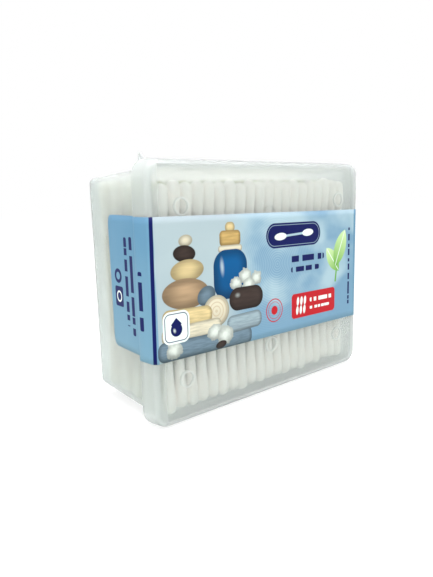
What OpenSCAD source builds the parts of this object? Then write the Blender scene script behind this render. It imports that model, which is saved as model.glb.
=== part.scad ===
// Translucent box of cotton swabs: a deep tub closed by a shallow cap lid, with a label band
// wrapped over both, standing on one long edge.
// X runs along the box, Y from the lid's face back to the tub's floor, Z up along the swabs.
// The origin is at the middle of the footprint, level with the lid's lower edge. Millimetres.

/* [Swabs] */
// Length of one swab, from end to end
swab_length = 75; // [60:1:90]
// Largest diameter of a cotton tip
tip_d = 4.5; // [3.8:0.1:6]
// Length of a cotton tip
tip_length = 19; // [16:0.5:22]
// Distance from a tip's end to where it starts to thin out
tip_belly = 5.5; // [4:0.5:9]
// Distance from a tip's end to its waist
tip_waist = 11; // [9.5:0.5:15]
// Diameter of a cotton tip at its waist
tip_waist_d = 3.5; // [3.2:0.1:3.8]
// Diameter of a cotton tip where it ends on the stick
tip_neck_d = 2.9; // [2.8:0.1:3.2]
// Cotton over the end of the stick
tip_cover = 2; // [1:0.1:4]
// Diameter of the stick
stick_d = 2.4; // [1.8:0.1:2.6]
// Play between the stick and the cotton wound on it
stick_play = 0.02; // [0.01:0.01:0.1]
// Swabs in one row
swab_columns = 20; // [6:1:30]
// Rows, one behind another
swab_rows = 10; // [3:1:12]
// Space between the tips in a row
tip_gap = 0.2; // [0.2:0.05:0.6]
// Space between the tips of two nested rows
row_gap = 0.2; // [0.1:0.05:0.4]
// How far the middle swabs lean to one side at each end
lean_reach = 0.45; // [0:0.05:0.5]
// Share of the room above a swab that the loosest one may be lifted by
lift_share = 0.25; // [0:0.05:0.4]
// Number of the swab in the front row that stands proud of the rest
proud_swab = 18; // [1:1:30]
// How much higher that swab stands
proud_lift = 0.9; // [0:0.1:1.5]

/* [Tub] */
// Thickness of the tub's walls
wall_t = 0.9; // [0.7:0.05:1.4]
// Thickness of the tub's floor
floor_t = 1.1; // [0.8:0.05:1.8]
// How far each wall leans in between the rim and the floor
draft = 2.3; // [0.5:0.1:3]
// Outside radius of the tub's corners at the floor
foot_corner_r = 2.4; // [2.3:0.1:4]
// Outside radius of the edge round the floor
floor_edge_r = 2.2; // [1.5:0.1:2.3]
// Width of the snap bead
bead_w = 1.5; // [0.8:0.1:1.6]
// Distance from the rim to the middle of the snap bead
bead_drop = 2; // [1.4:0.1:2.4]
// Diameter of the round gate recess in the floor
gate_d = 9; // [5:0.5:14]
// Depth of the gate recess
gate_depth = 0.35; // [0.1:0.05:0.5]
// Diameter of the gate stub in the recess
gate_stub_d = 1.6; // [1:0.1:3]
// How far the gate stub stays below the floor's outside
gate_stub_drop = 0.07; // [0.02:0.01:0.09]

/* [Lid] */
// Thickness of the lid's face
lid_face_t = 1.2; // [0.9:0.05:1.8]
// Thickness of the lid's skirt
lid_wall_t = 1.1; // [0.8:0.05:1.3]
// Depth of the lid from its face to the end of the skirt
lid_depth = 7.65; // [6.5:0.05:11]
// How far the skirt spreads from the face to its open end
lid_draft = 0.5; // [0.1:0.05:0.6]
// Outside radius of the edge round the lid's face
lid_edge_r = 1.75; // [1.3:0.05:2.4]
// Width of the flat land round the skirt's open end
skirt_land = 1.2; // [0.8:0.1:2]
// How far the skirt's open end stands out from the tub's wall at the rim
skirt_step = 2.3; // [2.1:0.05:2.8]
// How much larger the skirt's corner radius is than the tub's
corner_step = 1; // [0.6:0.1:2.1]
// Width of the catch bead inside the skirt
catch_w = 1; // [0.6:0.1:1.2]
// Diameter of the ejector marks inside the lid's face
mark_d = 5.8; // [4:0.5:10]
// Width of the ring round an ejector mark
mark_ring = 0.5; // [0.3:0.05:0.8]
// Height of that ring
mark_h = 0.2; // [0.1:0.05:0.25]
// Distance from the lid's ends to the middle of a mark near a corner
mark_end = 13.45; // [10:0.05:20]
// Distance from the lid's long edges to the middle of such a mark
mark_edge = 14.95; // [8:0.05:16]
// The same distance for the two marks on the lid's upright middle line
mid_mark_edge = 18.55; // [12:0.05:30]
// Height of the small nib on the skirt's upper edge
nib_h = 1.5; // [0.6:0.1:3]
// Width of the nib at its root
nib_w = 1.5; // [1:0.1:5]
// Width of the nib at its top
nib_top_w = 0.4; // [0.2:0.1:0.9]
// Thickness of the nib
nib_t = 0.9; // [0.6:0.1:1.5]
// Distance from the lid's end to the nib
nib_end = 3; // [2.6:0.1:6]

/* [Label] */
// Height of the label
label_h = 45.9; // [30:0.1:60]
// Height of the label's lower edge above the box's lower edge
label_low = 21.95; // [8:0.05:24]
// Thickness of the label
label_t = 0.1; // [0.08:0.01:0.2]
// Adhesive between the label and the box
glue_t = 0.03; // [0.02:0.01:0.06]
// Depth that the label reaches to on the end walls
label_reach = 29.5; // [16:0.1:36]
// Length of label that spans the step behind the skirt
label_bridge = 1.3; // [0.8:0.1:4]
// Radius of the label's corners
label_corner_r = 2.6; // [1:0.1:5]

/* [Fits] */
// Room between the end swabs and the walls at the floor
end_room = 0.12; // [0.1:0.01:0.6]
// Room above the swabs at the floor
head_room = 0.4; // [0.4:0.05:1.5]
// Room between the swabs and the lid, and between the swabs and the floor
face_room = 0.35; // [0.3:0.05:0.6]
// Room between a swab and the wall that it stands on
seat_room = 0.1; // [0.05:0.01:0.2]
// Room between the tub's rim and the lid's face
rim_room = 0.3; // [0.2:0.05:0.6]
// Room between the snap bead and the skirt
bead_room = 0.2; // [0.1:0.05:0.3]
// How far the catch bead reaches in behind the snap bead
catch_bite = 0.2; // [0.05:0.05:0.3]

/* [Hidden] */
// Each number below follows from the sizes above, or sets how finely a round edge is drawn.
$fn = 48;
edge_steps = 5;
least_edge_r = 0.2;
chamfer_share = 0.25;
crest_share = 1 / 3;
column_scatter = 77;
row_scatter = 131;
row_numbers = [for (k = [0 : swab_rows - 1]) str(k < 9 ? "0" : "", k + 1)];
STICK_NODES = [for (n = row_numbers) str("swab_sticks_row_", n)];
TIP_NODES = [for (n = row_numbers) str("cotton_tips_row_", n)];

plastic = [0.85, 0.9, 0.88, 0.5];
print_blue = [0.62, 0.76, 0.84];
cotton = [0.93, 0.93, 0.91];
stick_white = [0.88, 0.88, 0.84];

// The box is sized round its swabs: rows nest, so each lies in the valleys of the one before.
pitch = tip_d + tip_gap;
row_pitch = sqrt(pow(tip_d + row_gap, 2) - pow(pitch / 2, 2));
wall_reach = skirt_step + wall_t + draft;
row_span = (swab_columns - 0.5) * pitch;
box_w = row_span + tip_d + 2 * (end_room + wall_reach);
box_h = swab_length + head_room + 2 * wall_reach;
box_d = lid_face_t + face_room + (swab_rows - 1) * row_pitch + tip_d + face_room + floor_t;
tub_w = box_w - 2 * skirt_step;
tub_h = box_h - 2 * skirt_step;
tub_corner_r = foot_corner_r + draft;
lid_corner_r = tub_corner_r + corner_step;
rim_depth = lid_face_t + rim_room;
bead_depth = rim_depth + bead_drop;
catch_depth = lid_depth - catch_w;
label_out = glue_t + label_t;
face_y = -(box_d - label_out) / 2;
rim_chamfer = wall_t * chamfer_share;
skirt_chamfer = lid_wall_t * chamfer_share;
skirt_end = lid_depth - skirt_chamfer;
land_start = skirt_end - skirt_land;

function arc_points(c, r, from, to, steps) =
    [for (k = [0 : steps]) let (a = from + (to - from) * k / steps) c + r * [cos(a), sin(a)]];

// How far the tub's outer wall stands in from the skirt's open end, at a depth behind the face.
function tub_inset(depth) =
    skirt_step + draft * min(1, (depth - rim_depth) / (box_d - floor_edge_r - rim_depth));

// How far the skirt's inner wall stands in from its open end's outside, at that depth.
function skirt_inset(depth) =
    lid_wall_t + lid_draft * max(0, min(1, (land_start - depth) / (land_start - lid_edge_r)));

// Radius of the tub's outer corner where its wall stands in that far.
function tub_radius(inset) = tub_corner_r + skirt_step - inset;

// Places a child that is drawn with its depth along Z, face down, into the standing box.
module stand() {
    translate([0, face_y, box_h / 2])
        rotate([-90, 0, 0])
            children();
}

// Carries a wall profile round a rounded rectangle. The profile's X is the distance from the
// corner's centre line and its Y the depth.
module carry_round(w, h, r) {
    for (i = [0 : 3]) {
        across = i % 2 == 0 ? w : h;
        along = i % 2 == 0 ? h : w;
        rotate([0, 0, 90 * i]) {
            translate([across / 2 - r, along / 2 - r, 0])
                rotate_extrude(angle = 90)
                    children();
            translate([across / 2 - r, 0, 0])
                rotate([90, 0, 0])
                    linear_extrude(height = along - 2 * r, center = true)
                        children();
        }
    }
}

// The flat plate inside the profile's ends.
module middle_plate(w, h, r, depth, thickness) {
    translate([r - w / 2, r - h / 2, depth])
        cube([w - 2 * r, h - 2 * r, thickness]);
}

// A low bead on a wall: four points from its foot nearer the face over the crest to the other.
function bead_points(near_foot, crest, far_foot, depth, width) = [
    [near_foot, depth - width / 2],
    [crest, depth - width * crest_share / 2],
    [crest, depth + width * crest_share / 2],
    [far_foot, depth + width / 2]];

function reversed(points) = [for (k = [len(points) - 1 : -1 : 0]) points[k]];

module tub_profile() {
    inner_r = foot_corner_r - wall_t;
    inner_edge_r = floor_edge_r - wall_t;
    near_foot = tub_radius(tub_inset(bead_depth - bead_w / 2));
    far_foot = tub_radius(tub_inset(bead_depth + bead_w / 2));
    crest = tub_radius(skirt_inset(bead_depth) + bead_room);
    polygon(concat(
        [[0, box_d]],
        arc_points([foot_corner_r - floor_edge_r, box_d - floor_edge_r],
                   floor_edge_r, 90, 0, edge_steps),
        reversed(bead_points(near_foot, crest, far_foot, bead_depth, bead_w)),
        [[tub_corner_r, rim_depth + rim_chamfer],
         [tub_corner_r - rim_chamfer, rim_depth],
         [tub_corner_r - wall_t + rim_chamfer, rim_depth],
         [tub_corner_r - wall_t, rim_depth + rim_chamfer]],
        arc_points([inner_r - inner_edge_r, box_d - floor_t - inner_edge_r],
                   inner_edge_r, 0, 90, edge_steps),
        [[0, box_d - floor_t]]));
}

module base_tub() {
    color(plastic)
        stand()
            difference() {
                union() {
                    carry_round(tub_w, tub_h, tub_corner_r)
                        tub_profile();
                    middle_plate(tub_w, tub_h, tub_corner_r, box_d - floor_t, floor_t);
                }
                translate([0, 0, box_d - gate_depth])
                    difference() {
                        cylinder(d = gate_d, h = 2 * gate_depth);
                        cylinder(d = gate_stub_d, h = gate_depth - gate_stub_drop);
                    }
            }
}

module lid_profile() {
    face_r = lid_corner_r - lid_draft;
    inner_r = lid_corner_r - skirt_inset(lid_edge_r);
    inner_edge_r = max(lid_edge_r - lid_wall_t, least_edge_r);
    near_foot = lid_corner_r - skirt_inset(catch_depth - catch_w / 2);
    far_foot = lid_corner_r - skirt_inset(catch_depth + catch_w / 2);
    crest = lid_corner_r - skirt_inset(bead_depth) - bead_room - catch_bite;
    polygon(concat(
        [[0, 0]],
        arc_points([face_r - lid_edge_r, lid_edge_r], lid_edge_r, -90, 0, edge_steps),
        [[lid_corner_r, land_start],
         [lid_corner_r, skirt_end],
         [lid_corner_r - skirt_chamfer, lid_depth],
         [lid_corner_r - lid_wall_t + skirt_chamfer, lid_depth]],
        reversed(bead_points(near_foot, crest, far_foot, catch_depth, catch_w)),
        arc_points([inner_r - inner_edge_r, lid_face_t + inner_edge_r],
                   inner_edge_r, 0, -90, edge_steps),
        [[0, lid_face_t]]));
}

// A raised ring that an ejector pin leaves on the inside of the face.
module ejector_mark() {
    sunk = lid_face_t / 2;
    translate([0, 0, sunk])
        difference() {
            cylinder(d = mark_d, h = lid_face_t - sunk + mark_h);
            translate([0, 0, lid_face_t - sunk])
                cylinder(d = mark_d - 2 * mark_ring, h = 2 * mark_h);
        }
}

// The nib stands on the back of the skirt's upper edge, where the corner's curve begins.
module skirt_nib() {
    left = nib_end - box_w / 2;
    off_centre = max(0, lid_corner_r - nib_end);
    corner_drop = lid_corner_r - sqrt(pow(lid_corner_r, 2) - pow(off_centre, 2));
    root = box_h - corner_drop - lid_wall_t / 2;
    translate([0, face_y + skirt_end, 0])
        rotate([90, 0, 0])
            linear_extrude(height = nib_t)
                polygon([[left, root], [left + nib_w, root], [left + nib_w, box_h],
                         [left + nib_top_w, box_h + nib_h], [left, box_h + nib_h]]);
}

module lid() {
    color(plastic) {
        stand() {
            carry_round(box_w, box_h, lid_corner_r)
                lid_profile();
            middle_plate(box_w, box_h, lid_corner_r, 0, lid_face_t);
            for (sy = [-1, 1]) {
                for (sx = [-1, 1])
                    translate([sx * (box_w / 2 - mark_end), sy * (box_h / 2 - mark_edge), 0])
                        ejector_mark();
                translate([0, sy * (box_h / 2 - mid_mark_edge), 0])
                    ejector_mark();
            }
        }
        skirt_nib();
    }
}

// Half of the label's course seen from above, at a distance out from the box's skin, from the
// tub's end wall over the step and round the lid's edge to the face.
function label_course(out) = let (behind = lid_depth + label_bridge) concat(
    [[box_w / 2 - tub_inset(label_reach) + out, label_reach],
     [box_w / 2 - tub_inset(behind) + out, behind + out],
     [box_w / 2 - skirt_chamfer + out, lid_depth + out],
     [box_w / 2 + out, skirt_end],
     [box_w / 2 + out, land_start]],
    arc_points([box_w / 2 - lid_draft - lid_edge_r, lid_edge_r],
               lid_edge_r + out, 0, -90, edge_steps));

function mirrored(points) = [for (p = points) [-p[0], p[1]]];

module label_outline() {
    r = label_corner_r;
    // The slab starts ahead of the face, so that only the label's two ends have round corners.
    start = -r;
    translate([start, label_low + r])
        square([label_reach - start, label_h - 2 * r]);
    translate([start, label_low])
        square([label_reach - start - r, label_h]);
    for (z = [label_low + r, label_low + label_h - r])
        translate([label_reach - r, z])
            circle(r = r);
}

module label() {
    outer = label_course(label_out);
    inner = label_course(glue_t);
    color(print_blue)
        translate([0, face_y, 0])
            intersection() {
                linear_extrude(height = box_h)
                    polygon(concat(outer, reversed(mirrored(outer)), mirrored(inner), reversed(inner)));
                rotate([90, 0, 90])
                    linear_extrude(height = 2 * box_w, center = true)
                        label_outline();
            }
}

// Where swab number i of row k stands: its middle in X and Y, its lower end and its lean.
function row_depth(k) = lid_face_t + face_room + tip_d / 2 + k * row_pitch;
function seat_z(k) = tub_inset(row_depth(k) + tip_d / 2) + wall_t;
function swab_x(i, k) = (i - (swab_columns - 1) / 2) * pitch + (k % 2 == 0 ? -1 : 1) * pitch / 4;
function spare(k) = box_h - 2 * seat_z(k) - swab_length - 2 * seat_room;
function proud(i, k) = k == 0 && i == proud_swab - 1 ? proud_lift : 0;
function swab_lift(i, k) =
    seat_room + proud(i, k) + spare(k) * lift_share * abs(sin(column_scatter * i + row_scatter * k));
function swab_lean(i, k) = asin(2 * lean_reach * cos(180 * swab_x(i, k) / row_span) / swab_length);

module place_swab(i, k) {
    translate([swab_x(i, k), face_y + row_depth(k), seat_z(k) + swab_lift(i, k) + swab_length / 2])
        rotate([0, swab_lean(i, k), 0])
            children();
}

module stick() {
    cylinder(d = stick_d, h = swab_length - 2 * tip_cover, center = true);
}

// One cotton tip, its round end at the origin: a bulb that thins out over a waist to the neck,
// with a blind hole for the stick.
module cotton_tip() {
    r = tip_d / 2;
    waist_r = tip_waist_d / 2;
    neck_r = tip_neck_d / 2;
    hole_r = stick_d / 2 + stick_play;
    rotate_extrude()
        difference() {
            union() {
                intersection() {
                    translate([0, r])
                        circle(r = r);
                    square(r);
                }
                polygon([[0, r], [r, r], [r, tip_belly], [waist_r, tip_waist],
                         [neck_r, tip_length], [0, tip_length]]);
            }
            translate([0, tip_cover - stick_play])
                square([hole_r, tip_length]);
        }
}

module swab_sticks(k) {
    color(stick_white)
        for (i = [0 : swab_columns - 1])
            place_swab(i, k)
                stick();
}

module cotton_tips(k) {
    color(cotton)
        for (i = [0 : swab_columns - 1])
            place_swab(i, k)
                for (turn = [0, 180])
                    rotate([turn, 0, 0])
                        translate([0, 0, -swab_length / 2])
                            cotton_tip();
}

base_tub();
lid();
label();
for (k = [0 : swab_rows - 1]) {
    swab_sticks(k);
    cotton_tips(k);
}
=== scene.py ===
"""Dresses the swab box: frosted plastic, wound cotton, paper sticks and a printed label band."""

import math

import bmesh
import bpy
from mathutils import Matrix, Vector


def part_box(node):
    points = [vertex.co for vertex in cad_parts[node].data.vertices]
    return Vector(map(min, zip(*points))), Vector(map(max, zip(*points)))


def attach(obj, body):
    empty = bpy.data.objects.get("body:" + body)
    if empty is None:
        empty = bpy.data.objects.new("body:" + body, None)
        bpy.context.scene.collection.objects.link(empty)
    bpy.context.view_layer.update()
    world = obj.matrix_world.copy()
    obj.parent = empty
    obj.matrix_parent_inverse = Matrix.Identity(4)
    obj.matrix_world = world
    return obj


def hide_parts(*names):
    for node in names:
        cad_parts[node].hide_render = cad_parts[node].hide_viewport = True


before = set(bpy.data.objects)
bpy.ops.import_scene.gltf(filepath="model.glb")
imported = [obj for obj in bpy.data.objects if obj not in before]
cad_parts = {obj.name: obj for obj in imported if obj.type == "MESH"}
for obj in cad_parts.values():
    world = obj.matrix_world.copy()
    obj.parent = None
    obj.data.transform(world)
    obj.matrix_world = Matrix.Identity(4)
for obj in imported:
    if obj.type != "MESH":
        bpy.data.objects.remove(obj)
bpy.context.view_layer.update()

MM = 0.001
ROWS = 10
TIP_NODES = ["cotton_tips_row_%02d" % (k + 1) for k in range(ROWS)]
STICK_NODES = ["swab_sticks_row_%02d" % (k + 1) for k in range(ROWS)]

# The box's own sizes in millimetres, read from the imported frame.
lid_low, lid_high = (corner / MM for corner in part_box("lid"))
tub_low, tub_high = (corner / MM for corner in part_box("base_tub"))
band_low, band_high = (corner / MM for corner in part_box("label"))
HALF_W = lid_high.x
FACE_Y = lid_low.y
MIDDLE_Z = (tub_low.z + tub_high.z) / 2

# The label in millimetres. Its slope is how far it sinks for each millimetre to the right.
LABEL_H = band_high.z - band_low.z
LABEL_MID_Z = (band_high.z + band_low.z) / 2
LABEL_REACH = band_high.y - FACE_Y
LABEL_SLOPE = 0.0142
LABEL_CORNER_R = 2.6
LABEL_T = 0.1
GLUE_T = 0.03

# The skin under the label in millimetres, as in the part's source. Depths run back from the
# lid's face. The label leaves the skirt's end and lands on the tub's wall at the bridge's end.
LID_EDGE_R = 1.75
LID_DRAFT = 0.5
LID_DEPTH = 7.65
LAND_START = 6.175
SKIRT_END = 7.375
SKIRT_CHAMFER = 0.275
BRIDGE_END = 8.95
TUB_INSET_RIM = 2.3
TUB_DRAFT = 2.3
TUB_RIM_DEPTH = 1.5
TUB_WALL_END = 41.93

# The band's mesh: columns on half the face, round the lid's edge and on one end wall, and rows.
FACE_COLUMNS = 24
EDGE_COLUMNS = 8
WALL_COLUMNS = 18
WALL_CROWDING = 1.7
BAND_ROWS = 20

# The print in millimetres: the least width of a field, and how far it sits to the left.
FIELD_W = 11.0
PRINT_SHIFT = 0.9

# The rings inside the lid's face in millimetres: their places from its middle, their radius, the
# half widths where their line is full and where it ends, and how far behind the face they reach.
MARK_ACROSS = 40.245
MARK_UP = 28.25
MID_MARK_UP = 24.65
MARK_R = 2.65
MARK_LINE_FULL = 0.2
MARK_LINE_END = 0.3
MARK_DEPTH = 2

# Where the lid's milkier sides, painted light, and the tub's darker rear edges, painted shade,
# begin
# and where they are full, in millimetres: in from the box's ends, and in depth behind the lid's
# face.
LID_SIDE_START, LID_SIDE_FULL = 6, 3
TUB_EDGE_START, TUB_EDGE_FULL = 14, 8
REAR_START, REAR_FULL = 33, 41

# Polypropylene: refraction, the share of its milk's light that goes on through it, how far its
# milk and roughness wander, and the milk that the rings and the lid's short sides add; the sides'
# milk is painted light.
PLASTIC_IOR = 1.45
MILK_THROUGH = 0.55
WANDER = 0.015
TUB_MILK, TUB_ROUGH = 0.22, 0.23
LID_MILK, LID_ROUGH = 0.2, 0.18
RING_MILK = 0.34
# Milk added at the lid's short sides to lighten them: painted light.
SIDE_LIGHT_MILK = 0.11

# The photograph's camera: its place in metres, its angles in degrees, its focal length and the
# picture's width in pixels, the sensor's width in millimetres and the nearest it sees in metres.
CAMERA_PLACE = (-0.14127, -0.15513, 0.07453)
CAMERA_AZIMUTH = -40.652
CAMERA_ELEVATION = 9.997
CAMERA_ROLL = -1.531
CAMERA_FOCAL_PX = 529.012
IMAGE_W = 433
SENSOR_W = 36.0
NEAREST = 0.01

# Light: the world's strength, how far the floor reaches in metres, the glow and the grey that
# the camera sees it with, and how often light may turn.
WORLD_STRENGTH = 0.86
FLOOR_REACH = 2.5
FLOOR_GLOW = 0.8, 0.81
FLOOR_GREY = 0.26
BOUNCES = 24
DIFFUSE_BOUNCES = 10


def srgb(red, green, blue):
    """A colour as the photograph shows it, 0 to 255, in the renderer's linear light."""
    return tuple(
        c / 12.92 if c <= 0.04045 else ((c + 0.055) / 1.055) ** 2.4
        for c in (v / 255 for v in (red, green, blue))
    )


# The plastic's tints: of what is seen through it, and of its milk.
TUB_TINT = srgb(246, 250, 248)
# A darker tint for the tub's rear upright edges: painted shade.
REAR_EDGE_SHADE_TINT = srgb(234, 240, 238)
LID_TINT = srgb(248, 250, 249)
MILK_TINT = srgb(250, 251, 250)

# Pairs of tints: cotton of the outer rows; darker copies of that cotton, painted shade, for the
# rows that show in the gaps between the front swabs and for the rest; then the sticks' paper and
# the label's back.
OUTER_COTTON = srgb(253, 244, 238), srgb(254, 248, 244)
GAP_SHADE_COTTON = srgb(172, 172, 138), srgb(192, 192, 160)
DEEP_SHADE_COTTON = srgb(232, 226, 217), srgb(242, 236, 229)
PAPER = srgb(196, 192, 168), srgb(212, 208, 186)
LABEL_BACK = srgb(222, 228, 230), srgb(232, 236, 238)

# Colours of the label's print.
NAVY = srgb(4, 14, 80)
RED = srgb(186, 22, 34)
GREEN = srgb(104, 160, 58)
PALE_GREEN = srgb(206, 224, 168)
WHITE = srgb(232, 236, 234)
SKY = srgb(116, 149, 176)
PALE_SKY = srgb(166, 186, 198)
HIGH_END_SKY = srgb(92, 134, 164)
LOW_END_SKY = srgb(112, 147, 169)
MIST = srgb(172, 182, 188)
JAR_BLUE = srgb(6, 84, 140)
GOLD = srgb(202, 164, 104)
HONEY = srgb(224, 196, 146)
TAN = srgb(186, 152, 120)
CREAM = srgb(222, 208, 186)
BARK = srgb(64, 50, 46)
SLATE = srgb(112, 130, 146)
PALE_SLATE = srgb(156, 170, 180)
COTTON = srgb(228, 228, 222)

# The room: light from low and high, the floor as light meets it, and the pale surroundings that
# show in reflections and through the plastic.
LOW_LIGHT = srgb(190, 198, 194)
HIGH_LIGHT = srgb(250, 252, 255)
LIT_FLOOR = srgb(198, 213, 204)
SEEN_THROUGH = srgb(231, 232, 234)
PURE_WHITE = (1.0, 1.0, 1.0)
BLACK = (0.0, 0.0, 0.0)


def link(obj):
    bpy.context.scene.collection.objects.link(obj)
    return obj


class Nodes:
    """Builds a shader tree from plain calls.

    An input may be a number, a colour or another node's socket.
    """

    def __init__(self, owner):
        owner.use_nodes = True
        self.tree = owner.node_tree
        self.tree.nodes.clear()

    def put(self, kind, inputs=(), **settings):
        node = self.tree.nodes.new(kind)
        for name, value in settings.items():
            setattr(node, name, value)
        for name, value in dict(inputs).items():
            self.feed(node.inputs[name], value)
        return node

    def feed(self, socket, value):
        if isinstance(value, bpy.types.NodeSocket):
            self.tree.links.new(value, socket)
        elif isinstance(value, (tuple, list)) and len(value) == 3 and socket.type == "RGBA":
            socket.default_value = (*value, 1.0)
        else:
            socket.default_value = value

    def math(self, operation, a, b=0.0, clamp=False):
        node = self.put("ShaderNodeMath", {0: a, 1: b}, operation=operation, use_clamp=clamp)
        return node.outputs[0]

    def add(self, a, b):
        return self.math("ADD", a, b)

    def sub(self, a, b):
        return self.math("SUBTRACT", a, b)

    def mul(self, a, b):
        return self.math("MULTIPLY", a, b)

    def high(self, a, b):
        return self.math("MAXIMUM", a, b)

    def low(self, a, b):
        return self.math("MINIMUM", a, b)

    def absolute(self, a):
        return self.math("ABSOLUTE", a)

    def length(self, a, b):
        return self.math("SQRT", self.add(self.mul(a, a), self.mul(b, b)))

    def ramp(self, value, from_low, from_high, to_low=0.0, to_high=1.0, smooth=False):
        ends = {"From Min": from_low, "From Max": from_high, "To Min": to_low, "To Max": to_high}
        node = self.put("ShaderNodeMapRange", {"Value": value, **ends})
        if smooth:
            node.interpolation_type = "SMOOTHSTEP"
        return node.outputs["Result"]

    def mix(self, share, below, above):
        inputs = {0: share, 6: below, 7: above}
        return self.put("ShaderNodeMix", inputs, data_type="RGBA").outputs[2]

    def parts(self, vector):
        """The outputs X, Y and Z of a vector."""
        return self.put("ShaderNodeSeparateXYZ", {"Vector": vector}).outputs

    def noise(self, vector, scale, detail=3.0, roughness=0.5):
        inputs = {"Vector": vector, "Scale": scale, "Detail": detail, "Roughness": roughness}
        return self.put("ShaderNodeTexNoise", inputs).outputs["Fac"]

    def wander(self, vector, scale, middle):
        """A value that strays a little from its middle over the surface."""
        return self.ramp(self.noise(vector, scale), 0.3, 0.7, middle - WANDER, middle + WANDER)

    def stretched(self, vector, scale):
        return self.put("ShaderNodeMapping", {"Vector": vector, "Scale": scale}).outputs["Vector"]

    def position(self):
        return self.put("ShaderNodeTexCoord").outputs["Object"]

    def bump(self, height, strength, distance, under=None):
        inputs = {"Height": height, "Strength": strength, "Distance": distance}
        node = self.put("ShaderNodeBump", inputs)
        if under is not None:
            self.feed(node.inputs["Normal"], under)
        return node.outputs["Normal"]

    def principled(self, colour, roughness, more=()):
        inputs = {"Base Color": colour, "Roughness": roughness, **dict(more)}
        return self.put("ShaderNodeBsdfPrincipled", inputs)

    def blend(self, share, below, above):
        """Two shader nodes mixed: none of the second at 0, and only the second at 1."""
        inputs = {0: share, 1: below.outputs[0], 2: above.outputs[0]}
        return self.put("ShaderNodeMixShader", inputs)

    def surface(self, shader, kind="ShaderNodeOutputMaterial"):
        """Ends the tree with a shader node."""
        self.put(kind, {"Surface": shader.outputs[0]})


def new_material(name):
    material = bpy.data.materials.new(name)
    return material, Nodes(material)


def mark_rings(n, place):
    """1 on the rings that the ejector pins left inside the lid's face."""
    parts = n.parts(place)
    across = n.absolute(parts["X"])
    up = n.sub(parts["Z"], MIDDLE_Z * MM)
    corner = n.length(n.sub(across, MARK_ACROSS * MM), n.sub(n.absolute(up), MARK_UP * MM))
    middle = n.length(across, n.add(up, MID_MARK_UP * MM))
    off_ring = n.absolute(n.sub(n.low(corner, middle), MARK_R * MM))
    on_face = n.math("LESS_THAN", parts["Y"], (FACE_Y + MARK_DEPTH) * MM)
    return n.mul(n.ramp(off_ring, MARK_LINE_END * MM, MARK_LINE_FULL * MM), on_face)


def near_ends(n, parts, start, full):
    """0 up to some millimetres from the box's ends, and 1 closer to them."""
    across = n.absolute(parts["X"])
    return n.ramp(across, (HALF_W - start) * MM, (HALF_W - full) * MM, smooth=True)


def lid_side_light(n, place):
    """1 at the lid's two short sides, where added milk paints light on them: walls lie behind each
    other there and look milkier.
    """
    return near_ends(n, n.parts(place), LID_SIDE_START, LID_SIDE_FULL)


def rear_edge_shade(n, place):
    """1 round the tub's rear upright edges, where a darker tint is painted shade for light that
    passes a long way through the wall.
    """
    parts = n.parts(place)
    start, full = (FACE_Y + REAR_START) * MM, (FACE_Y + REAR_FULL) * MM
    rear = n.ramp(parts["Y"], start, full, smooth=True)
    return n.mul(rear, near_ends(n, parts, TUB_EDGE_START, TUB_EDGE_FULL))


def frosted_plastic(name, tint, milk, rough, edge_shade_tint=None, more_milk=()):
    """Natural polypropylene: clear enough to see the swabs, milky, with a faintly rippled skin.

    Each item of more_milk is a function that gives 1 where milk is added, and the share added.
    """
    material, n = new_material(name)
    place = n.position()
    if edge_shade_tint:
        # Painted shade: the tint grows darker towards the tub's rear upright edges.
        tint = n.mix(rear_edge_shade(n, place), tint, edge_shade_tint)
    ripple = n.noise(place, 60.0, 1.0)
    grain = n.noise(place, 2600.0, 2.0)
    normal = n.bump(grain, 0.12, 0.00002, n.bump(ripple, 0.03, 0.0003))
    haze = n.wander(place, 45.0, milk)
    # Added milk: on the rings as marks in the plastic, and on the lid's short sides as painted
    # light.
    for where, share in more_milk:
        haze = n.add(haze, n.mul(where(n, place), share))
    clear = n.principled(
        tint,
        n.wander(place, 160.0, rough),
        {"IOR": PLASTIC_IOR, "Transmission Weight": 1.0, "Normal": normal},
    )
    front = n.put("ShaderNodeBsdfDiffuse", {"Color": MILK_TINT, "Normal": normal})
    through = n.put("ShaderNodeBsdfTranslucent", {"Color": MILK_TINT, "Normal": normal})
    n.surface(n.blend(haze, clear, n.blend(MILK_THROUGH, front, through)))
    return material


def wound_cotton(name, low, high):
    """Soft white cotton, its fibres wound round the tip and standing off it a little."""
    material, n = new_material(name)
    place = n.position()
    fibres = n.noise(n.stretched(place, (1.0, 1.0, 3.2)), 1500.0, 4.0, 0.65)
    tufts = n.noise(place, 420.0)
    normal = n.bump(tufts, 0.5, 0.0004, n.bump(fibres, 0.5, 0.00012))
    fuzz = {"Specular IOR Level": 0.15, "Sheen Weight": 0.25, "Sheen Roughness": 0.6}
    shade = n.mix(n.ramp(tufts, 0.35, 0.65), low, high)
    n.surface(n.principled(shade, 0.95, {**fuzz, "Normal": normal}))
    return material


def paper_stick():
    """Rolled paper, pale, with the faint streaks of its winding."""
    material, n = new_material("paper_stick")
    fleck = n.noise(n.stretched(n.position(), (1.0, 1.0, 0.15)), 2200.0)
    shade = n.mix(n.ramp(fleck, 0.3, 0.7), *PAPER)
    normal = n.bump(fleck, 0.3, 0.00005)
    n.surface(n.principled(shade, 0.75, {"Specular IOR Level": 0.3, "Normal": normal}))
    return material


def label_back():
    """The label's white back, which shows only through the plastic."""
    material, n = new_material("label_back")
    shade = n.mix(n.noise(n.position(), 300.0, 2.0), *LABEL_BACK)
    n.surface(n.principled(shade, 0.7))
    return material


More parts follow.
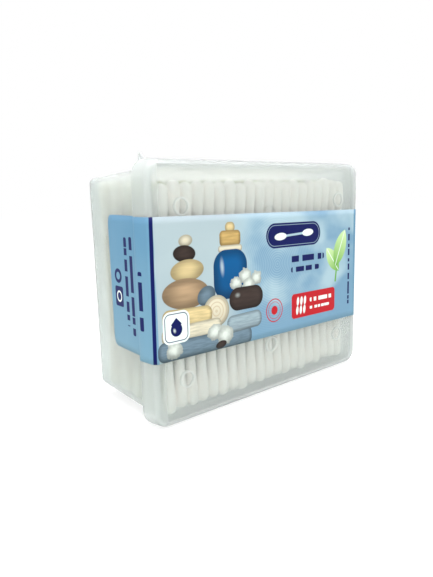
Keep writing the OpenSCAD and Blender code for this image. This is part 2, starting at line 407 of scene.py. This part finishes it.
class Print(Nodes):
    """One field of the label's print. Places on the band are in millimetres from its middle.

    Each field draws only the shapes that reach into it, which keeps its shader small.
    """

    SOFT_EDGE = 0.09

    def __init__(self, material, across, up, start, end):
        super().__init__(material)
        self.half = across / 2
        self.start = start + PRINT_SHIFT
        self.end = end + PRINT_SHIFT
        parts = self.parts(self.put("ShaderNodeUVMap", uv_map="print_map").outputs["UV"])
        self.x = self.add(self.mul(self.sub(parts["X"], 0.5), across), PRINT_SHIFT)
        self.z = self.add(self.mul(parts["Y"], across), up)
        self.flat = self.put("ShaderNodeCombineXYZ", {"X": self.x, "Y": self.z}).outputs[0]
        self.colour = SKY

    def misses(self, cx, reach):
        """Whether a shape round cx stays out of this field."""
        return cx + reach < self.start or cx - reach > self.end

    def local(self, cx, cz, turn=0.0):
        """Coordinates about a point, turned by some degrees."""
        dx = self.sub(self.x, cx)
        dz = self.sub(self.z, cz)
        if not turn:
            return dx, dz
        c, s = math.cos(math.radians(turn)), math.sin(math.radians(turn))
        along = self.add(self.mul(dx, c), self.mul(dz, s))
        away = self.sub(self.mul(dz, c), self.mul(dx, s))
        return along, away

    def rounded(self, local, w, h, r):
        """Distance outside a rounded rectangle, negative within it."""
        qx = self.add(self.sub(self.absolute(local[0]), w / 2), r)
        qz = self.add(self.sub(self.absolute(local[1]), h / 2), r)
        outside = self.length(self.high(qx, 0.0), self.high(qz, 0.0))
        inside = self.low(self.high(qx, qz), 0.0)
        return self.sub(self.add(outside, inside), r)

    def ellipse(self, local, w, h):
        """About the distance outside an ellipse."""
        reach = self.length(self.mul(local[0], 2 / w), self.mul(local[1], 2 / h))
        return self.mul(self.sub(reach, 1.0), min(w, h) / 2)

    def inside(self, distance):
        return self.ramp(distance, self.SOFT_EDGE, -self.SOFT_EDGE)

    def ring(self, distance, width):
        return self.inside(self.sub(self.absolute(distance), width / 2))

    def wall_x(self, depth):
        """Where a depth on the left end wall of the tub lies along the band."""
        return LABEL_REACH - depth - self.half + PRINT_SHIFT

    def paint(self, share, colour):
        self.colour = self.mix(share, self.colour, colour)

    def body(self, distance, local, colour, depth, height, grain=0.0):
        """A shape with a shaded rim and lighter top, so that it reads as round."""
        rim = self.ramp(distance, -depth, 0.0, 1.0, 0.5, smooth=True)
        lit = self.ramp(local[1], -height / 2, height / 2, 0.72, 1.1)
        shade = self.mul(rim, lit)
        if grain:
            wave = self.noise(self.stretched(self.flat, (0.12, 1.0, 1.0)), grain, 2.0)
            shade = self.mul(shade, self.ramp(wave, 0.3, 0.7, 0.82, 1.12))
        self.paint(self.inside(distance), self.mix(shade, BLACK, colour))

    def rounded_body(self, cx, cz, w, h, r, colour, turn=0.0, depth=1.6, grain=0.0):
        if self.misses(cx, w / 2 + 1):
            return
        local = self.local(cx, cz, turn)
        self.body(self.rounded(local, w, h, r), local, colour, depth, h, grain)

    def pebble(self, cx, cz, w, h, colour, turn=0.0, grain=0.0):
        if self.misses(cx, w / 2 + 1):
            return
        local = self.local(cx, cz, turn)
        self.body(self.ellipse(local, w, h), local, colour, min(w, h) * 0.42, h, grain)

    def shine(self, cx, cz, w, h, share, turn=0.0):
        if self.misses(cx, w / 2 + 1):
            return
        distance = self.ellipse(self.local(cx, cz, turn), w, h)
        self.paint(self.ramp(distance, 0.0, -min(w, h) / 2, 0.0, share, smooth=True), WHITE)

    def puff(self, cx, cz, d):
        """A ball of cotton wool."""
        if self.misses(cx, d / 2 + 1):
            return
        local = self.local(cx, cz)
        wavy = self.ramp(self.noise(self.flat, 0.5, 2.0), 0.3, 0.7, -0.5, 0.5)
        self.body(self.add(self.ellipse(local, d, d * 0.9), wavy), local, COTTON, d * 0.4, d)

    def swab(self, cx, cz, length, turn, thick):
        """A flat drawing of one swab."""
        if self.misses(cx, length / 2 + thick):
            return
        local = self.local(cx, cz, turn)
        self.paint(self.inside(self.rounded(local, length, thick * 0.3, 0.1)), PALE_SKY)
        ends = (self.sub(self.absolute(local[0]), length / 2 - thick), local[1])
        self.paint(self.inside(self.ellipse(ends, thick * 2.4, thick)), WHITE)

    def leaf(self, cx, cz, length, width, turn):
        """A pointed leaf with a pale rib: where two discs overlap."""
        if self.misses(cx, length / 2 + 1):
            return
        local = self.local(cx, cz, turn)
        radius = (length**2 + width**2) / (4 * width)
        off = radius - width / 2
        above = self.length(local[0], self.add(local[1], off))
        below = self.length(local[0], self.sub(local[1], off))
        blade = self.sub(self.high(above, below), radius)
        shade = self.ramp(local[0], -length / 2, length / 2)
        self.paint(self.inside(blade), self.mix(shade, GREEN, PALE_GREEN))
        rib = self.sub(self.absolute(local[1]), 0.16)
        self.paint(self.inside(self.high(rib, self.add(blade, 0.3))), WHITE)

    def bars(self, cx, cz, length, height, colour, turn=0.0):
        """A row of plain bars of uneven lengths, in place of a line of print."""
        if self.misses(cx, height if turn else length / 2 + 1):
            return
        local = self.local(cx, cz, turn)
        # Each row reads its own stretch of the noise, so no two have the same bars.
        run = self.add(local[0], cx * 7 + cz * 3 + 1)
        uneven = self.put(
            "ShaderNodeTexNoise",
            {"W": run, "Scale": 0.5 / height**0.5, "Detail": 0.0},
            noise_dimensions="1D",
        )
        gaps = self.ramp(uneven.outputs[0], 0.38, 0.4)
        strip = self.inside(self.rounded(local, length, height, height / 3))
        self.paint(self.mul(strip, gaps), colour)


def paint_sky(p):
    """Hazy blue with pale clouds, deeper on the end walls, and faint rings round one point."""
    clouds = p.noise(p.stretched(p.flat, (0.8, 1.15, 1.0)), 0.05, 3.0, 0.4)
    clouds = p.add(clouds, p.mul(p.z, 0.007))
    p.paint(p.ramp(clouds, 0.44, 0.7, smooth=True), PALE_SKY)
    wall = p.ramp(p.absolute(p.x), 51.3, 51.8, 0.0, 0.95)
    p.paint(wall, p.mix(p.ramp(p.z, 18.0, -22.0), HIGH_END_SKY, LOW_END_SKY))
    reach = p.length(p.sub(p.x, 4.0), p.sub(p.z, 4.0))
    rings = p.math("SINE", p.mul(reach, 7.0))
    fade = p.ramp(reach, 6.0, 30.0, 0.14, 0.0)
    p.paint(p.mul(p.ramp(rings, -1.0, 1.0), fade), WHITE)
    haze = p.ramp(p.x, -8.0, -24.0, 0.0, 0.9, smooth=True)
    front = p.inside(p.sub(-50.5, p.x))
    p.paint(p.mul(haze, front), MIST)


def paint_still_life(p):
    """Bath things in front of the haze: a jar, stones, a bowl of cotton wool, folded towels."""
    # The jar with its wooden stopper.
    p.rounded_body(-19.5, 18.6, 4.4, 3.6, 1.7, HONEY, depth=1.4)
    p.rounded_body(-19.5, 14.9, 9.6, 5.4, 1.6, GOLD, grain=1.2)
    p.rounded_body(-19.5, 11.4, 11.0, 2.4, 1.1, CREAM, depth=0.9)
    p.rounded_body(-19.5, 2.6, 15.5, 17.0, 5.6, JAR_BLUE, depth=4.6)
    p.shine(-23.4, 5.4, 2.6, 8.5, 0.5, turn=4.0)
    # The stack of stones.
    p.pebble(-38.6, 15.2, 5.6, 3.8, CREAM, turn=6.0)
    p.pebble(-39.2, 11.1, 9.0, 5.4, BARK, turn=-4.0, grain=0.8)
    p.pebble(-38.2, 5.6, 13.5, 7.2, HONEY, turn=3.0, grain=0.5)
    p.pebble(-39.0, -1.8, 19.0, 10.0, TAN, turn=-2.0, grain=0.5)
    # A small blue-grey stone that leans at their right.
    p.pebble(-30.6, -3.6, 8.0, 6.4, SLATE, turn=24.0, grain=0.6)
    # The bowl of cotton wool.
    p.puff(-12.6, 1.2, 6.2)
    p.puff(-7.2, 0.0, 5.6)
    p.puff(-17.2, -0.9, 5.4)
    p.puff(-11.0, -2.4, 6.4)
    p.rounded_body(-12.2, -6.6, 16.5, 8.2, 4.0, BARK, depth=2.6, grain=0.9)
    p.shine(-16.5, -5.2, 3.4, 2.4, 0.3)
    paint_rolled_towel(p)
    # The folded towels.
    p.rounded_body(-38.6, -9.6, 20.5, 6.2, 2.6, HONEY, turn=-2.0, grain=1.6)
    p.rounded_body(-36.8, -14.6, 25.0, 5.6, 2.3, CREAM, turn=1.0, depth=1.5, grain=1.8)
    p.rounded_body(-30.4, -20.0, 41.0, 6.6, 2.6, SLATE, turn=-1.0, depth=1.7, grain=2.0)
    p.rounded_body(-13.2, -15.0, 17.0, 6.2, 2.6, PALE_SLATE, turn=2.0, grain=1.8)
    # Cotton bolls in front.
    p.puff(-27.2, -16.6, 6.6)
    p.puff(-22.6, -18.4, 7.4)
    p.pebble(-24.6, -21.4, 5.0, 2.6, BARK, turn=10.0)
    p.puff(-44.6, -19.6, 6.4)


def paint_rolled_towel(p):
    """A rolled towel, seen on its end."""
    cx, cz = -26.4, -9.4
    if p.misses(cx, 7):
        return
    place = p.local(cx, cz)
    disc = p.ellipse(place, 11.6, 11.0)
    p.body(disc, place, CREAM, 2.2, 11.0)
    turns = p.math("SINE", p.mul(p.length(*place), 4.6))
    lines = p.ramp(turns, 0.3, 1.0, 0.0, 0.55)
    p.paint(p.mul(p.inside(p.add(disc, 0.5)), lines), TAN)


def paint_front_stripe(p):
    """The navy stripe down the left edge of the lid's face, a little off upright."""
    foot = -51.6
    if p.misses(foot, 3):
        return
    run = p.sub(p.x, p.add(p.mul(p.z, 0.015), foot))
    p.paint(p.inside(p.sub(p.absolute(run), 0.62)), NAVY)


def paint_sign(p):
    """The navy plate with a drawing of one swab."""
    cx, cz = 13.6, 14.4
    if p.misses(cx, 17):
        return
    plate = p.rounded(p.local(cx, cz), 31.0, 9.2, 4.6)
    p.paint(p.inside(plate), NAVY)
    p.paint(p.mul(p.ring(p.add(plate, 0.8), 0.22), 0.7), PALE_SKY)
    p.swab(cx, cz, 21.0, 3.0, thick=2.7)


def paint_red_ring(p):
    """Two red rings round a solid dot."""
    cx, cz = 2.2, -13.4
    if p.misses(cx, 6):
        return
    place = p.local(cx, cz)
    ring = p.ellipse(place, 8.6, 8.6)
    p.paint(p.ring(ring, 0.4), RED)
    p.paint(p.ring(p.add(ring, 1.1), 0.2), RED)
    p.paint(p.inside(p.ellipse(place, 3.4, 3.4)), RED)


def paint_leaves(p):
    """A sprout of two green leaves, beside two lines of plain bars."""
    cx, cz = 39.8, -2.2
    if not p.misses(cx, 5):
        p.paint(p.inside(p.rounded(p.local(cx, cz, 82.0), 9.0, 0.9, 0.4)), GREEN)
    p.leaf(37.4, 2.8, 13.0, 6.2, 130.0)
    p.leaf(42.2, 7.2, 16.4, 7.4, 66.0)
    p.bars(21.6, 5.0, 20.0, 2.4, NAVY)
    p.bars(20.0, 0.9, 16.8, 2.0, NAVY)


def paint_red_plate(p):
    """The red plate with three small swabs and plain bars."""
    cx, cz = 25.4, -13.6
    if p.misses(cx, 15):
        return
    plate = p.rounded(p.local(cx, cz), 27.0, 9.8, 1.5)
    p.paint(p.inside(plate), RED)
    for swab_x in (15.4, 17.5, 19.6):
        p.swab(swab_x, cz, 6.4, 84.0, thick=1.4)
    p.bars(29.8, -12.1, 14.0, 1.6, WHITE)
    p.bars(29.0, -15.3, 12.4, 1.1, WHITE)


def paint_right_edge(p):
    """One upright line of small bars."""
    p.bars(48.4, -1.0, 33.0, 1.1, NAVY, turn=90.0)


def paint_badge(p):
    """A white tile with a navy outline and a plain drop."""
    cx, cz = -43.4, -12.2
    if p.misses(cx, 7):
        return
    tile = p.rounded(p.local(cx, cz), 10.6, 10.6, 2.6)
    p.paint(p.inside(tile), WHITE)
    p.paint(p.ring(p.add(tile, 0.8), 0.3), NAVY)
    drop = p.ellipse(p.local(cx, -12.9), 4.6, 4.6)
    point = p.rounded(p.local(cx, -11.2, 45.0), 3.1, 3.1, 0.3)
    p.paint(p.inside(p.low(drop, point)), NAVY)
    p.shine(-44.2, -13.2, 1.5, 2.2, 0.8, turn=20.0)


def paint_end_wall(p):
    """Upright lines of plain bars and two bare signs on the left end wall."""
    x = p.wall_x
    p.bars(x(18.2), 0.8, 30.0, 1.9, NAVY, turn=90.0)
    p.bars(x(14.6), -0.4, 33.0, 1.9, NAVY, turn=90.0)
    p.bars(x(11.0), -1.2, 34.0, 1.9, NAVY, turn=90.0)
    p.bars(-57.0, -3.4, 19.0, 1.9, NAVY, turn=90.0)
    if p.misses(x(24.0), 5):
        return
    ring = p.ellipse(p.local(x(24.2), 2.4), 5.2, 5.2)
    p.paint(p.ring(p.add(ring, 0.7), 1.2), NAVY)
    place = p.local(x(24.0), -4.7)
    p.paint(p.inside(p.rounded(place, 5.6, 7.0, 0.8)), NAVY)
    p.paint(p.ring(p.ellipse(place, 3.0, 3.4), 0.5), WHITE)


# What is painted on the band, from the ground up.
PAINTERS = (
    paint_sky,
    paint_still_life,
    paint_front_stripe,
    paint_sign,
    paint_red_ring,
    paint_leaves,
    paint_red_plate,
    paint_right_edge,
    paint_badge,
    paint_end_wall,
)


def print_field(name, length, start, end):
    """Printed film with faint wrinkles, over one stretch of the band."""
    material = bpy.data.materials.new(name)
    p = Print(material, length, -LABEL_H / 2, start, end)
    for painter in PAINTERS:
        painter(p)
    wrinkle = p.noise(p.stretched(p.flat, (1.0, 0.35, 1.0)), 0.12, 2.0)
    fine = p.noise(p.flat, 3.0, 2.0)
    normal = p.bump(fine, 0.15, 0.00002, p.bump(wrinkle, 0.3, 0.0004))
    roughness = p.ramp(fine, 0.3, 0.7, 0.34, 0.42)
    p.surface(p.principled(p.colour, roughness, {"Specular IOR Level": 0.12, "Normal": normal}))
    return material


def label_course(out):
    """Half of the band's course seen from above, from the middle of the face to its end.

    Each point is X and the depth behind the lid's face, at a distance out from the skin.
    """

    def inset(depth):
        share = (depth - TUB_RIM_DEPTH) / (TUB_WALL_END - TUB_RIM_DEPTH)
        return TUB_INSET_RIM + TUB_DRAFT * min(1.0, share)

    flat_end = HALF_W - LID_DRAFT - LID_EDGE_R
    points = [(flat_end * k / FACE_COLUMNS, -out) for k in range(FACE_COLUMNS + 1)]
    reach = LID_EDGE_R + out
    for k in range(1, EDGE_COLUMNS + 1):
        angle = math.radians(90 - 90 * k / EDGE_COLUMNS)
        points.append((flat_end + reach * math.cos(angle), LID_EDGE_R - reach * math.sin(angle)))
    points.append((HALF_W - LID_DRAFT / 2 + out, (LID_EDGE_R + LAND_START) / 2))
    points.append((HALF_W + out, LAND_START))
    points.append((HALF_W + out, SKIRT_END))
    points.append((HALF_W - SKIRT_CHAMFER + out, LID_DEPTH + out))
    start = BRIDGE_END + out
    points.append((HALF_W - inset(BRIDGE_END) + out, start))
    for k in range(1, WALL_COLUMNS + 1):
        # Columns crowd towards the end, where the corners are round.
        share = 1 - (1 - k / WALL_COLUMNS) ** WALL_CROWDING
        depth = start + (LABEL_REACH - start) * share
        points.append((HALF_W - inset(depth) + out, depth))
    return points


def whole_course(out):
    right = label_course(out)
    left = [(-x, depth) for x, depth in right[:0:-1]]
    return left + right


def distances(points):
    """How far along the band each point lies from its middle, and the band's length."""
    total = [0.0]
    for before, after in zip(points, points[1:]):
        total.append(total[-1] + math.dist(before, after))
    middle = total[-1] / 2
    return [d - middle for d in total], total[-1]


def band_columns(mesh, course, along, length):
    """One side of the sheet, column by column: each vertex with its place on the print."""
    columns = []
    for (x, depth), run in zip(course, along):
        past = abs(run) - (length / 2 - LABEL_CORNER_R)
        trim = LABEL_CORNER_R - math.sqrt(max(0.0, LABEL_CORNER_R**2 - max(0.0, past) ** 2))
        half = LABEL_H / 2 - trim
        column = []
        for k in range(BAND_ROWS + 1):
            up = -half + 2 * half * k / BAND_ROWS
            z = LABEL_MID_Z + up - LABEL_SLOPE * run
            place = Vector((x, FACE_Y + depth, z)) * MM
            column.append((mesh.verts.new(place), run, up))
        columns.append(column)
    return columns


def field_spans(along):
    """The first and the last column of each of the print's fields."""
    spans = []
    first = 0
    for k in range(1, len(along)):
        if along[k] - along[first] > FIELD_W or k == len(along) - 1:
            spans.append((first, k))
            first = k
    return spans


def label_band():
    """The band as a thin closed sheet. It slopes a little, and its two ends have round corners."""
    outer = whole_course(GLUE_T + LABEL_T)
    along, length = distances(outer)
    mesh = bmesh.new()
    layer = mesh.loops.layers.uv.new("print_map")
    front = band_columns(mesh, outer, along, length)
    back = band_columns(mesh, whole_course(GLUE_T), along, length)
    fields = field_spans(along)
    field_of = [number for number, (start, end) in enumerate(fields) for _ in range(start, end)]

    def face(corners, material=len(fields)):
        made = mesh.faces.new([c[0] for c in corners])
        made.smooth = True
        made.material_index = material
        for loop, corner in zip(made.loops, corners):
            loop[layer].uv = (corner[1] / length + 0.5, (corner[2] + LABEL_H / 2) / length)

    for field, a, b in zip(field_of, front, front[1:]):
        for k in range(BAND_ROWS):
            face([a[k], b[k], b[k + 1], a[k + 1]], field)
    for a, b in zip(back, back[1:]):
        for k in range(BAND_ROWS):
            face([a[k + 1], b[k + 1], b[k], a[k]])
    for k in range(len(front) - 1):
        face([front[k][0], back[k][0], back[k + 1][0], front[k + 1][0]])
        face([front[k][-1], front[k + 1][-1], back[k + 1][-1], back[k][-1]])
    for k in range(BAND_ROWS):
        face([front[0][k], front[0][k + 1], back[0][k + 1], back[0][k]])
        face([front[-1][k], back[-1][k], back[-1][k + 1], front[-1][k + 1]])
    data = bpy.data.meshes.new("label_band")
    mesh.to_mesh(data)
    mesh.free()
    band = link(bpy.data.objects.new("label_band", data))
    for number, (start, end) in enumerate(fields):
        name = "print_field_%02d" % number
        data.materials.append(print_field(name, length, along[start], along[end]))
    data.materials.append(label_back())
    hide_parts("label")
    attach(band, "root")


def assign(node, material):
    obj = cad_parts[node]
    obj.data.materials.clear()
    obj.data.materials.append(material)


def dress_cad_nodes():
    # The tub's rear upright edges get a darker tint, which is painted shade.
    tub = frosted_plastic("tub_frost", TUB_TINT, TUB_MILK, TUB_ROUGH, edge_shade_tint=REAR_EDGE_SHADE_TINT)
    # Milk for the rings, and painted light on the lid's short sides.
    ring_milk_and_side_light = ((mark_rings, RING_MILK), (lid_side_light, SIDE_LIGHT_MILK))
    lid = frosted_plastic("lid_frost", LID_TINT, LID_MILK, LID_ROUGH, more_milk=ring_milk_and_side_light)
    assign("base_tub", tub)
    assign("lid", lid)
    outer = wound_cotton("front_cotton", *OUTER_COTTON)
    # Darker copies of the same cotton, painted shade, for the rows in the gaps and deeper in.
    gap_shade = wound_cotton("gap_shade_cotton", *GAP_SHADE_COTTON)
    deep_shade = wound_cotton("deep_shade_cotton", *DEEP_SHADE_COTTON)
    paper = paper_stick()
    # The rows between the outer ones take the darker copies of the cotton: painted shade.
    by_row = [outer, gap_shade, gap_shade] + [deep_shade] * (ROWS - 4) + [outer]
    for tips, sticks, cotton in zip(TIP_NODES, STICK_NODES, by_row):
        assign(tips, cotton)
        assign(sticks, paper)


def view_ray(n):
    """1 for what the camera sees, straight or by way of the plastic, and 0 for light."""
    path = n.put("ShaderNodeLightPath").outputs
    past_surface = n.mul(
        n.math("ADD", path["Is Glossy Ray"], path["Is Transmission Ray"], clamp=True),
        n.math("LESS_THAN", path["Diffuse Depth"], 0.5),
    )
    return n.high(path["Is Camera Ray"], past_surface)


def studio_world():
    """Soft light from all round, white to the camera and pale grey through the plastic."""
    world = bpy.data.worlds.new("studio")
    bpy.context.scene.world = world
    n = Nodes(world)
    height = n.parts(n.put("ShaderNodeTexCoord").outputs["Generated"])["Z"]
    sky = n.mix(n.ramp(height, -0.2, 0.9), LOW_LIGHT, HIGH_LIGHT)
    light = n.put("ShaderNodeBackground", {"Color": sky, "Strength": WORLD_STRENGTH})
    straight = n.put("ShaderNodeLightPath").outputs["Is Camera Ray"]
    room = n.mix(straight, SEEN_THROUGH, PURE_WHITE)
    white = n.put("ShaderNodeBackground", {"Color": room, "Strength": 1.0})
    n.surface(n.blend(view_ray(n), light, white), "ShaderNodeOutputWorld")


def studio_floor():
    """A pale floor that reads white and keeps a soft shadow."""
    data = bpy.data.meshes.new("floor")
    mesh = bmesh.new()
    corners = ((-1, -1), (1, -1), (1, 1), (-1, 1))
    mesh.faces.new([mesh.verts.new((x * FLOOR_REACH, y * FLOOR_REACH, 0.0)) for x, y in corners])
    mesh.to_mesh(data)
    mesh.free()
    floor = link(bpy.data.objects.new("floor", data))
    material, n = new_material("studio_floor")
    speck = n.noise(n.position(), 30.0, 2.0)
    seen = n.put("ShaderNodeBsdfDiffuse", {"Color": (FLOOR_GREY, FLOOR_GREY, FLOOR_GREY)})
    strength = n.ramp(speck, 0.0, 1.0, *FLOOR_GLOW)
    glow = n.put("ShaderNodeEmission", {"Color": PURE_WHITE, "Strength": strength})
    shown = n.put("ShaderNodeAddShader", {0: seen.outputs[0], 1: glow.outputs[0]})
    lit = n.put("ShaderNodeBsdfDiffuse", {"Color": LIT_FLOOR})
    n.surface(n.blend(view_ray(n), lit, shown))
    data.materials.append(material)


def lamp(name, place, target, size, power, colour=PURE_WHITE):
    light = bpy.data.lights.new(name, "AREA")
    light.shape = "SQUARE"
    light.size = size
    light.energy = power
    light.color = colour
    obj = link(bpy.data.objects.new(name, light))
    obj.location = place
    obj.rotation_euler = (Vector(target) - Vector(place)).to_track_quat("-Z", "Y").to_euler()
    obj.visible_camera = False


def studio_lamps():
    """A large lamp above, and weak ones in front and at the left. None stands behind."""
    body, foot = (0.0, 0.0, 0.05), (0.0, 0.0, 0.04)
    cool = (0.97, 0.98, 1.0)
    lamp("top_light", (-0.05, -0.1, 0.75), body, size=0.7, power=9.5, colour=cool)
    lamp("front_light", (-0.45, -0.75, 0.35), body, size=0.6, power=2.0)
    lamp("left_light", (-0.85, 0.0, 0.1), foot, size=0.5, power=2.4)


def photo_camera():
    """The photograph's own camera, from the fit to the box's edges."""
    angles = (CAMERA_AZIMUTH, CAMERA_ELEVATION, CAMERA_ROLL)
    azimuth, elevation, roll = (math.radians(a) for a in angles)
    back = Vector((
        math.sin(azimuth) * math.cos(elevation),
        -math.cos(azimuth) * math.cos(elevation),
        math.sin(elevation),
    ))
    right = (-back).cross(Vector((0.0, 0.0, 1.0))).normalized()
    up = right.cross(-back)
    turned_right = right * math.cos(roll) + up * math.sin(roll)
    turned_up = up * math.cos(roll) - right * math.sin(roll)
    camera = bpy.data.cameras.new("photo_camera")
    camera.sensor_fit = "HORIZONTAL"
    camera.sensor_width = SENSOR_W
    camera.lens = CAMERA_FOCAL_PX / IMAGE_W * SENSOR_W
    camera.clip_start = NEAREST
    obj = link(bpy.data.objects.new("photo_camera", camera))
    turn = Matrix((turned_right, turned_up, back)).transposed().to_4x4()
    obj.matrix_world = Matrix.Translation(CAMERA_PLACE) @ turn
    bpy.context.scene.camera = obj


photo_camera()
studio_world()
studio_floor()
studio_lamps()
dress_cad_nodes()
label_band()

scene = bpy.context.scene
scene.view_settings.view_transform = "Standard"
scene.cycles.max_bounces = BOUNCES
scene.cycles.diffuse_bounces = DIFFUSE_BOUNCES
scene.cycles.transmission_bounces = BOUNCES
